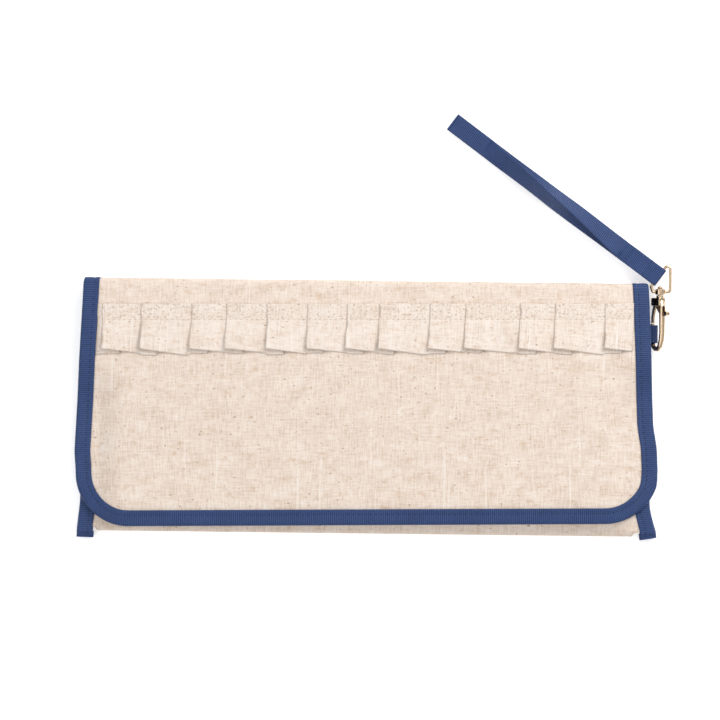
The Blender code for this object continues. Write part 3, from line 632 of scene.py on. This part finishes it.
# Spine bindings. The same ribbon covers the spine's two short ends, from the back panel to the flap's
# fold.
for side, node in ((-1, "left_spine_binding"), (1, "right_spine_binding")):
    spine_end_low, spine_end_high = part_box(node)
    spine_depth = spine_end_high.y - spine_end_low.y

    def spine_end(a, b, side=side, low=spine_end_low, high=spine_end_high, depth=spine_depth):
        inset, out, across = folded_over(a, depth, RIBBON_REACH)
        z = low.z + b * (high.z - low.z)
        return (side * (top_half - inset), low.y + out, z), (z, across)

    name = node.replace("binding", "ribbon")
    piece = cloth(name, 26, 30, spine_end, RIBBON, NAVY_RIBBON, "case", ribs)
    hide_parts(node)

# Pocket mouth binding. The same ribbon, cut narrower, is folded over the top edge of the pocket's
# front and follows its swell.


def mouth_place(a, b):
    depth = PANEL + 0.4 * MM
    inset, out, across = folded_over(a, depth, mouth_width)
    y = mouth_y - inset
    x = (2 * b - 1) * (body_edge(mouth_y) - RIM - 0.6 * MM)
    return (x, y, front_height(x, y) + 0.15 * MM - depth + out), (x, across)


mouth_ribbon = cloth("pocket_mouth_ribbon", 22, 900, mouth_place, RIBBON, NAVY_RIBBON, "case", ribs)
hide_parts("pocket_mouth_binding")

# Side tab. A short loop of stouter ribbon is sewn into the right side seam, for the hook to clip
# to.
tab_low, tab_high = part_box("side_tab")
TAB_RIBBON = 0.6 * MM
TAB_RADIUS = 2.3 * MM
tab_x = tab_high.x - TAB_RADIUS - TAB_RIBBON / 2
tab_z = tab_high.z - TAB_RADIUS - TAB_RIBBON / 2
tab_stem = tab_x - TAB_RADIUS - tab_low.x


def tab_place(a, b):
    run = 2 * tab_stem + 2 * math.pi * TAB_RADIUS
    s = a * run
    y = tab_low.y + b * (tab_high.y - tab_low.y)
    if s < tab_stem:
        x, z = tab_low.x + s, tab_z + TAB_RIBBON / 2
    elif s > run - tab_stem:
        x, z = tab_low.x + run - s, tab_z - TAB_RIBBON / 2
    else:
        turn = math.radians(172 - 344 * (s - tab_stem) / (run - 2 * tab_stem))
        x, z = tab_x + TAB_RADIUS * math.cos(turn), tab_z + TAB_RADIUS * math.sin(turn)
    return (x, y, z), (s, y)


side_tab = cloth("side_tab_ribbon", 96, 14, tab_place, TAB_RIBBON, NAVY_RIBBON, "case", ribs)
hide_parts("side_tab")

# Flap cloth. Linen again, quilted over the same wadding: it turns over the top fold, lies on the
# pocket and droops a little past the pocket's sides and towards its lower corners.
CORNER = 27 * MM
SHOULDER = 95.5 * MM  # top fold to where the flap is widest
BEND = 1.5 * MM  # top fold, to the middle of the panel
BEND_REACH = BEND + 0.9 * MM  # top fold, to its outer face
FLAP_TURN = 0.0117  # radians that the flap lies out of square
FLAP_TWIST = 0.0045  # radians more at its lower edge
SIDE_DROP = 4.9 * MM  # past the pocket's sides
LOW_DROP = 1.2 * MM  # towards the lower corners
flap_low, flap_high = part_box("flap_binding")
flap_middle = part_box("flap_outer")[1].z - PANEL / 2
ruffle_low, ruffle_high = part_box("ruffle")
bend_start = top_y - OUTER / 2 - BEND_REACH


def flap_half(y):
    return top_half + (flap_high.x - top_half) * min((top_y - y) / SHOULDER, 1.0)


def flap_inset(x, y):
    """How far a point of the flat flap is in from its edge."""
    dx = flap_half(y) - abs(x)
    dy = y - flap_low.y
    if dx < CORNER and dy < CORNER:
        return CORNER - math.hypot(CORNER - dx, CORNER - dy)
    return min(dx, dy)


def pulled(x, y):
    """How far the flap has been pulled out of square: its upper left side and lower right corner."""
    share = x / flap_high.x
    left = -1.25 * MM * smooth((-share - 0.3) / 0.7) * smooth((y + 34 * MM) / (14 * MM))
    right = 1.4 * MM * smooth((-8 * MM - y) / (16 * MM)) + 0.9 * MM * smooth((-34 * MM - y) / (8 * MM))
    return left + right * smooth((share - 0.3) / 0.7)


def lay_flap(x, y, h):
    """Where a point of the flat flap comes to lie; h is its height off the panel's middle."""
    x += pulled(x, y)
    beyond = y - bend_start
    level = min(y, bend_start)
    side_share = 1 - swell((body_edge(level) - abs(x) - RIM) / SIDE_SLOPE)
    side_drop = side_share * smooth((26 * MM - level) / (26 * MM))
    low_drop = smooth((-47 * MM - level) / (13 * MM)) * (1 - side_drop)
    z = flap_middle - SIDE_DROP * side_drop - LOW_DROP * low_drop
    z -= FOLD_DROP * (1 - smooth((bend_start - level) / (9 * MM)))
    turned = FLAP_TURN * smooth((top_y - level) / (11.5 * MM))
    turned += FLAP_TWIST * min(max((51.5 * MM - level) / (111 * MM), 0), 1)
    if beyond > 0:
        turn = min(beyond / BEND_REACH, math.pi / 2)
        y = bend_start + (BEND + h) * math.sin(turn)
        return Vector((x, y, z - BEND + (BEND + h) * math.cos(turn)))
    return Vector((x, level + x * turned, z + h))


def flap_piece(name, height, thickness, finish, inset, top, columns, rows, body):
    """A layer of the flap. Its cut edge follows the flap's rounded corners."""
    low = flap_low.y + inset

    def place(a, b):
        y = top + (low - top) * b
        half = flap_half(y) - inset
        dy = y - low
        radius = CORNER - inset
        if dy < radius:
            half -= radius - math.sqrt(max(radius ** 2 - (radius - dy) ** 2, 0))
        x = (2 * a - 1) * half
        return lay_flap(x, y, height(x, y)), (x, y)

    return cloth(name, columns, rows, place, thickness, finish, body)


def puff(x, y):
    return 0.25 * MM * waver(x, y, 38 * MM, 8.3) * smooth((flap_inset(x, y) - RIBBON_REACH) / (8 * MM))


def linen_level(x, y):
    return 0.9 * MM + puff(x, y) - under_ribbon(flap_inset(x, y))


def lining_level(x, y):
    return -MM + 0.4 * under_ribbon(flap_inset(x, y)) / UNDER_RIBBON * MM


bend_run = BEND_REACH * math.pi / 2
binding_top = bend_start + bend_run
flap_cloth = flap_piece("flap_cloth", linen_level, OUTER, LINEN, CUT_EDGE, binding_top, 190, 100, None)
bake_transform(flap_cloth)
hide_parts("flap_outer", "fold_bend")

# Flap wadding and lining. The wadding stops short of the binding; the navy cotton lining runs into
# it and is caught by the same stitches.
flap_wadding = flap_piece("flap_wadding", lambda x, y: 0.1 * MM, WADDING, FELT, RIM, lining_top,
                          90, 50, "flap")
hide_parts("flap_interlining")
flap_lining = flap_piece("flap_lining_cloth", lining_level, LINING, COTTON, CUT_EDGE, binding_top,
                         130, 110, None)
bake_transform(flap_lining)
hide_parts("flap_lining")

# Flap binding. One length of ribbon is folded over the flap's edge from one end of the top fold,
# down the side, round both lower corners and up to the other end, and stitched through.
side_run = binding_top - (top_y - SHOULDER)
corner_run = CORNER * math.pi / 2
lower_run = 2 * (flap_high.x - CORNER)
binding_length = 2 * (side_run + corner_run) + lower_run
BINDING_HEIGHT = 2.9 * MM


def flap_edge(s):
    """A point on the flat flap's edge, this far along it from the top left, and the way in."""
    mirrored = s > binding_length / 2
    if mirrored:
        s = binding_length - s
    if s < side_run:
        y = binding_top - s
        point, inward = Vector((-flap_half(y), y)), Vector((1, 0))
    elif s < side_run + corner_run:
        turn = (s - side_run) / CORNER
        inward = Vector((math.cos(turn), math.sin(turn)))
        point = Vector((CORNER - flap_high.x, top_y - SHOULDER)) - CORNER * inward
    else:
        point = Vector((CORNER - flap_high.x + s - side_run - corner_run, flap_low.y))
        inward = Vector((0, 1))
    if mirrored:
        point.x, inward.x = -point.x, -inward.x
    return point, inward


def binding_place(s, c, lift=0.0):
    inset, out, across = folded_over(c, BINDING_HEIGHT, RIBBON_REACH)
    out += lift - groove(inset) if c < 0.5 else groove(inset) - lift
    point, inward = flap_edge(s)
    spot = point + inward * inset
    return lay_flap(spot.x, spot.y, out - BINDING_HEIGHT / 2), across


def binding_grid(a, b):
    point, across = binding_place(b * binding_length, a)
    return point, (b * binding_length, across)


flap_ribbon = cloth("flap_ribbon", 20, 1900, binding_grid, RIBBON, NAVY_RIBBON, None, ribs)
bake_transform(flap_ribbon)
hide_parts("flap_binding")
binding_spots = []
for s in stitch_places(binding_length - 12 * MM, STITCH_PITCH):
    s += 6 * MM
    for share, out in ((STITCH_SHARE, 1), (1 - STITCH_SHARE, -1)):
        here = binding_place(s, share, 0.27 * MM)[0]
        ahead = binding_place(s + 0.5 * MM, share, 0.27 * MM)[0]
        binding_spots.append((here, ahead - here, (0, 0, out)))
binding_stitches = stitching("flap_ribbon_stitching", binding_spots, NAVY_THREAD, "flap")

# Ruffle. A strip of paler cotton and linen is laid in knife pleats across the top of the flap and
# sewn down along a heading; below that line the pleats stand free and open a little at the hem.
PLEATS = [x * MM for x in (-130.5, -111.5, -86.7, -69.5, -49.5, -29.2, -9.5,
                           6.5, 32, 49.8, 77, 94.5, 119.5)]
RUFFLE_LEFT = -133.4 * MM
RUFFLE_RIGHT = 133.4 * MM
TUCK = 8.5 * MM
TUCK_END = 5.5 * MM
RUFFLE_CLOTH = 0.35 * MM
HEADING = 7.8 * MM
FOLD_TURNS = (0.8, 1.57, 2.34)  # round a fold, in radians
FOLD_ROUND = 0.25 * MM
STRIP_END = 90 * MM  # the strip's own end counts as this far from a fold
HIDDEN = 20 * MM  # and so does the cloth under a pleat
HEM_RUN = 22 * MM  # fold to where the hem is level
FAR_FROM_FOLDS = 99.0  # for the stitches, which lie on the heading
ruffle_drop = ruffle_high.y - ruffle_low.y
RUFFLE_LINEN = linen_cloth("ruffle_linen", srgb(245, 236, 228), srgb(234, 220, 208),
                           srgb(208, 187, 168), HEADING)


def pleat_height(run):
    """How high a pleat is this far from its fold, in layers of cloth."""
    return 2 * (1 - smooth((run - TUCK) / TUCK_END))


def pleated_line():
    """The strip seen from its edge: place across, layer, cloth used so far, and how far from a fold."""
    line = [(RUFFLE_LEFT, 0.0, STRIP_END)]
    first_run = PLEATS[0] + TUCK - RUFFLE_LEFT
    line += [(RUFFLE_LEFT + first_run * t / 5, 0.0, HIDDEN) for t in range(1, 6)]
    for k, fold in enumerate(PLEATS):
        line += [(fold + TUCK + FOLD_ROUND * math.sin(turn), 0.5 - 0.5 * math.cos(turn), HIDDEN)
                 for turn in FOLD_TURNS]
        line += [(fold + TUCK * (1 - t / 6), 1.0, TUCK * (1 - t / 6)) for t in range(7)]
        line += [(fold - FOLD_ROUND * math.sin(turn), 1.5 - 0.5 * math.cos(turn), 0.0)
                 for turn in FOLD_TURNS]
        end = PLEATS[k + 1] + TUCK if k + 1 < len(PLEATS) else RUFFLE_RIGHT
        steps = round((end - fold) / (0.9 * MM))
        for t in range(steps + 1):
            run = (end - fold) * t / steps
            line.append((fold + run, pleat_height(run), run))
    return line


strip = pleated_line()
used = [0.0]
for before, after in zip(strip, strip[1:]):
    step = math.hypot(after[0] - before[0], (after[1] - before[1]) * 0.5 * MM)
    used.append(used[-1] + max(step, 0.02 * MM))


def ruffle_point(x, layer, run, v, pleat_seed):
    """v is the distance below the strip's top edge."""
    open_share = smooth((v - 0.6 * HEADING) / (ruffle_drop - 0.6 * HEADING))
    pitch = (0.40 + 0.30 * open_share) * MM
    lean = (-0.8 * MM + 1.1 * MM * noise.noise(Vector((pleat_seed * 1.7, 0.4, 3.3)))) * open_share
    lean += 0.5 * MM * noise.noise(Vector((pleat_seed, v / (7 * MM), 6.1))) * smooth(v / (4 * MM))
    lift = 0.9 * MM * open_share ** 2 * math.exp(-run / (4 * MM)) * (layer / 2)
    held = 0.25 * MM * math.exp(-((v - HEADING) / (0.8 * MM)) ** 2)
    ripple = 0.2 * MM * waver(x, v, 8 * MM, 2.2) * open_share
    slope = 2.6 + 1.2 * noise.noise(Vector((pleat_seed * 2.3, 7.7, 0.2)))
    hem = (1.2 - slope * min(run / HEM_RUN, 1.0)) * MM * open_share ** 1.5
    top = 0.35 * MM * waver(x, 0, 12 * MM, 4.4) * (1 - smooth(v / (6 * MM)))
    y = ruffle_high.y - v + hem + top
    limit = flap_half(y) - RIBBON_REACH + 0.1 * MM
    x = min(max(x + lean, -limit), limit)
    return lay_flap(x, y, 1.5 * MM + layer * pitch + lift - held * (layer / 2) + ripple)


def ruffle_grid():
    rows = 34
    shape = bmesh.new()
    threads = shape.loops.layers.uv.new("threads")
    grid = []
    for (x, layer, run), u in zip(strip, used):
        column = []
        seed = sum(1 for fold in PLEATS if fold <= x + 0.1 * MM)
        for r in range(rows + 1):
            v = ruffle_drop * r / rows
            column.append((shape.verts.new(ruffle_point(x, layer, run, v, seed)), (u, v)))
        grid.append(column)
    for left, right in zip(grid, grid[1:]):
        for r in range(rows):
            corners = [left[r], left[r + 1], right[r + 1], right[r]]
            face = shape.faces.new([vert for vert, spot in corners])
            for loop, (vert, spot) in zip(face.loops, corners):
                loop[threads].uv = spot
    return shape


ruffle = stand("pleated_ruffle", ruffle_grid(), RUFFLE_LINEN, "flap", RUFFLE_CLOTH)
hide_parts("ruffle")
ruffle_spots = []
for x in stitch_places(RUFFLE_RIGHT - RUFFLE_LEFT - 3 * MM, 2.6 * MM):
    x += RUFFLE_LEFT + 1.5 * MM
    folds_before = [fold for fold in PLEATS if fold <= x]
    layer = pleat_height(x - folds_before[-1]) if folds_before else 0.0
    spot = ruffle_point(x, layer, FAR_FROM_FOLDS, HEADING, 0.0)
    spot += Vector((0, 0, RUFFLE_CLOTH / 2 + 0.08 * MM))
    ruffle_spots.append((spot, (1, FLAP_TURN, 0), (0, 0, 1)))
ruffle_stitches = stitching("ruffle_stitching", ruffle_spots, LINEN_THREAD, "flap", 1.8 * MM, 0.34 * MM)

# Hook, gate and swivel eye. Small castings with a satin pale gold plating; the edges are soft from
# tumbling. The pin, the spring and the two magnets sewn into the panels are bright steel.


def plated(name, colour, roughness):
    material, tree, shader = new_material(name, roughness, 1.0)
    grain = grain_of_piece(tree, 900, 4)
    deep = tuple(0.80 * value for value in colour[:3])
    tone = ramp(tree, grain, [(0.3, (*deep, 1.0)), (0.65, colour)])
    join(tree, tone, shader.inputs["Base Color"])
    bump(tree, shader, grain, 0.02 * MM)
    return material


PALE_GOLD = plated("pale_gold_plating", srgb(226, 200, 168), 0.24)
STEEL = plated("bright_steel", srgb(196, 198, 202), 0.3)


def casting(name, node, body):
    """A soft-edged copy of a small casting."""
    shape = bmesh.new()
    shape.from_mesh(frame["nodes"][node].data)
    bmesh.ops.remove_doubles(shape, verts=shape.verts, dist=0.002 * MM)
    bmesh.ops.recalc_face_normals(shape, faces=shape.faces)
    piece = stand(name, shape, PALE_GOLD, body)
    skin = piece.modifiers.new("skin", "REMESH")
    skin.mode = "VOXEL"
    skin.voxel_size = 0.13 * MM
    skin.use_smooth_shade = True
    soften = piece.modifiers.new("soften", "SMOOTH")
    soften.factor = 0.5
    soften.iterations = 5
    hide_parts(node)


casting("hook_casting", "hook_body", "hook")
casting("rivet_of_swivel", "swivel_rivet", "hook")
casting("gate_casting", "gate_lever", "gate")
casting("eye_of_swivel", "swivel_eye", "eye")
for node in ("gate_pin", "gate_spring", "flap_magnet", "pocket_magnet"):
    part = frame["nodes"][node]
    for place in part.material_slots:
        place.material = STEEL
    if not part.material_slots:
        part.data.materials.append(STEEL)

# Wrist strap. One ribbon leaves the eye, runs out to its far end, folds back under itself and
# returns round the eye's bar, where its end is sewn down. Each run stands on one edge halfway
# along, so that the loop opens and crosses over.
STRAP_WIDTH = 9.5 * MM
STRAP_RIBBON = 0.55 * MM
STRAP_REACH = 128 * MM
STRAP_START = 6 * MM
STRAP_SEWN = 18 * MM
STRAP_FOLD = 0.42 * MM  # radius of the far fold
STRAP_ON_TOP = 1.55 * MM  # the sewn end, above the middle of the run under it
STRAP_CROSSING = 65 * MM  # from the bar to where the runs cross over
CROSSING_RUN = 35 * MM
STEEPEST = math.radians(60)
WRAP = 1.2 * MM  # eye bar to the middle of the ribbon round it
swing = next(joint for joint in frame["joints"] if joint["name"] == "strap_swing")
bar_point = Vector(swing["pos_m"])
across = Vector(swing["axis"]).normalized()
along = Vector((-across.y, across.x, 0))
half = STRAP_WIDTH / 2


def strap_base(t):
    """Height of the lower run's middle line: from the eye's bar down to the table."""
    low = 0.5 * MM
    return low + (bar_point.z - WRAP - low) * (1 - smooth(t / (58 * MM)))


def strap_tilts(t):
    """How steeply each run stands, the one that returns first."""
    gap = -half + STRAP_WIDTH * min(max((t - 22 * MM) / (86 * MM), 0), 1)
    falling = STEEPEST * (1 - smooth(abs(t - STRAP_CROSSING) / CROSSING_RUN))
    if t > STRAP_CROSSING:
        return math.acos(min((gap + half) / STRAP_WIDTH, 1)), falling
    return falling, math.acos(min((half - gap) / STRAP_WIDTH, 1))


def clear_of(under, over):
    return STRAP_WIDTH * max(0.0, math.sin(under) - (1 - math.cos(under)) * math.tan(over))


def run_point(t, c, returning):
    """A point of one run. c is the place across the ribbon, from its low edge to its high one."""
    returns, leaves = strap_tilts(t)
    c = min(max(c, 0.0), STRAP_WIDTH)
    above = smooth((t - 55 * MM) / (20 * MM))
    if returning:
        tilt, side, share = returns, -1, above
        lift = clear_of(leaves, returns) if t > STRAP_CROSSING else 0.0
    else:
        tilt, side, share = leaves, 1, 1 - above
        lift = clear_of(returns, leaves) if t <= STRAP_CROSSING else 0.0
    reach = side * half - side * c * math.cos(tilt)
    height = strap_base(t) + 0.75 * MM * share + lift + c * math.sin(tilt)
    return bar_point + along * t + across * reach + Vector((0, 0, height - bar_point.z))


strap_legs = [("leave", STRAP_REACH - STRAP_START), ("fold", math.pi * STRAP_FOLD),
              ("return", STRAP_REACH), ("bar", math.pi * WRAP), ("end", STRAP_SEWN)]
strap_length = sum(length for leg, length in strap_legs)


def strap_place(a, b):
    s = min(b, 0.99999) * strap_length
    left = s
    for leg, length in strap_legs:
        if left <= length:
            break
        left -= length
    left = min(left, length)
    from_left = a * STRAP_WIDTH
    if leg == "leave":
        point = run_point(STRAP_START + left, STRAP_WIDTH - from_left, False)
    elif leg == "fold":
        turn = left / STRAP_FOLD
        low = run_point(STRAP_REACH, STRAP_WIDTH - from_left, False)
        high = run_point(STRAP_REACH, from_left, True)
        point = (low + high) / 2 + (low - high) / 2 * math.cos(turn) + along * 1.1 * MM * math.sin(turn)
    elif leg == "return":
        point = run_point(STRAP_REACH - left, from_left, True)
    else:
        flat = bar_point + across * (from_left - half)
        if leg == "bar":
            turn = left / WRAP
            point = flat - along * WRAP * math.sin(turn) + Vector((0, 0, -WRAP * math.cos(turn)))
        else:
            rest = strap_base(left) - bar_point.z + STRAP_ON_TOP
            start = strap_base(0) - bar_point.z + STRAP_ON_TOP
            rise = (WRAP - start) * (1 - smooth(left / (6 * MM)))
            point = flat + along * left + Vector((0, 0, rest + rise))
    return point, (s, a * STRAP_WIDTH)


strap = cloth("wrist_strap", 14, 1060, strap_place, STRAP_RIBBON, NAVY_RIBBON, "strap", ribs)
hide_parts("strap_lower_run", "strap_upper_run", "strap_far_fold", "strap_wrap")
strap_spots = []
for t in (7 * MM, 15.5 * MM):
    for k in range(5):
        level = strap_base(t) + STRAP_ON_TOP + STRAP_RIBBON / 2
        spot = bar_point + along * t + across * (k - 2) * 1.8 * MM
        strap_spots.append((Vector((spot.x, spot.y, level)), across, (0, 0, 1)))
stitching("strap_stitching", strap_spots, NAVY_THREAD, "strap", 1.3 * MM, 0.4 * MM)

# Table, light and camera. A pale table, a broad soft light from the upper right and a fill, seen
# from straight above through a long lens.
table_shape = bmesh.new()
bmesh.ops.create_grid(table_shape, x_segments=1, y_segments=1, size=3.0)
table_mesh = bpy.data.meshes.new("table_top")
table_shape.to_mesh(table_mesh)
table_shape.free()
table_top = bpy.data.objects.new("table_top", table_mesh)
table_top.location.z = -0.3 * MM
bpy.context.scene.collection.objects.link(table_top)
table_material, table_tree, table_shader = new_material("pale_table", 0.9)
table_shader.inputs["Base Color"].default_value = (0.93, 0.93, 0.93, 1)
table_shader.inputs["Emission Color"].default_value = (1, 1, 1, 1)
table_shader.inputs["Emission Strength"].default_value = 0.42
table_mesh.materials.append(table_material)

world = bpy.data.worlds.new("soft_room")
bpy.context.scene.world = world
world.use_nodes = True
room = world.node_tree
direction = room.nodes.new("ShaderNodeTexCoord")
up = one_axis(room, direction.outputs["Generated"], "Z")
sky = ramp(room, up, [(0.0, (0.30, 0.30, 0.31, 1)), (0.75, (1.0, 1.0, 1.0, 1))])
room.links.new(sky, room.nodes["Background"].inputs["Color"])
room.nodes["Background"].inputs["Strength"].default_value = 0.72


def soft_light(name, place, size, power):
    data = bpy.data.lights.new(name, "AREA")
    data.size = size
    data.energy = power
    lamp = bpy.data.objects.new(name, data)
    lamp.location = place
    lamp.rotation_euler = Vector(place).to_track_quat("Z", "Y").to_euler()
    bpy.context.scene.collection.objects.link(lamp)


soft_light("key_light", (0.7, 0.9, 1.0), 0.8, 14)
soft_light("fill_light", (-0.9, -0.4, 1.3), 1.2, 5)

lens = bpy.data.cameras.new("long_lens")
lens.lens = 200
lens.sensor_width = 36
lens.clip_start = 0.05
camera = bpy.data.objects.new("camera", lens)
camera.location = (-0.00327, 0.023215, 2.013)
camera.rotation_euler = (0, 0, 0.0117)
bpy.context.scene.collection.objects.link(camera)
bpy.context.scene.camera = camera
bpy.context.scene.view_settings.view_transform = "Standard"
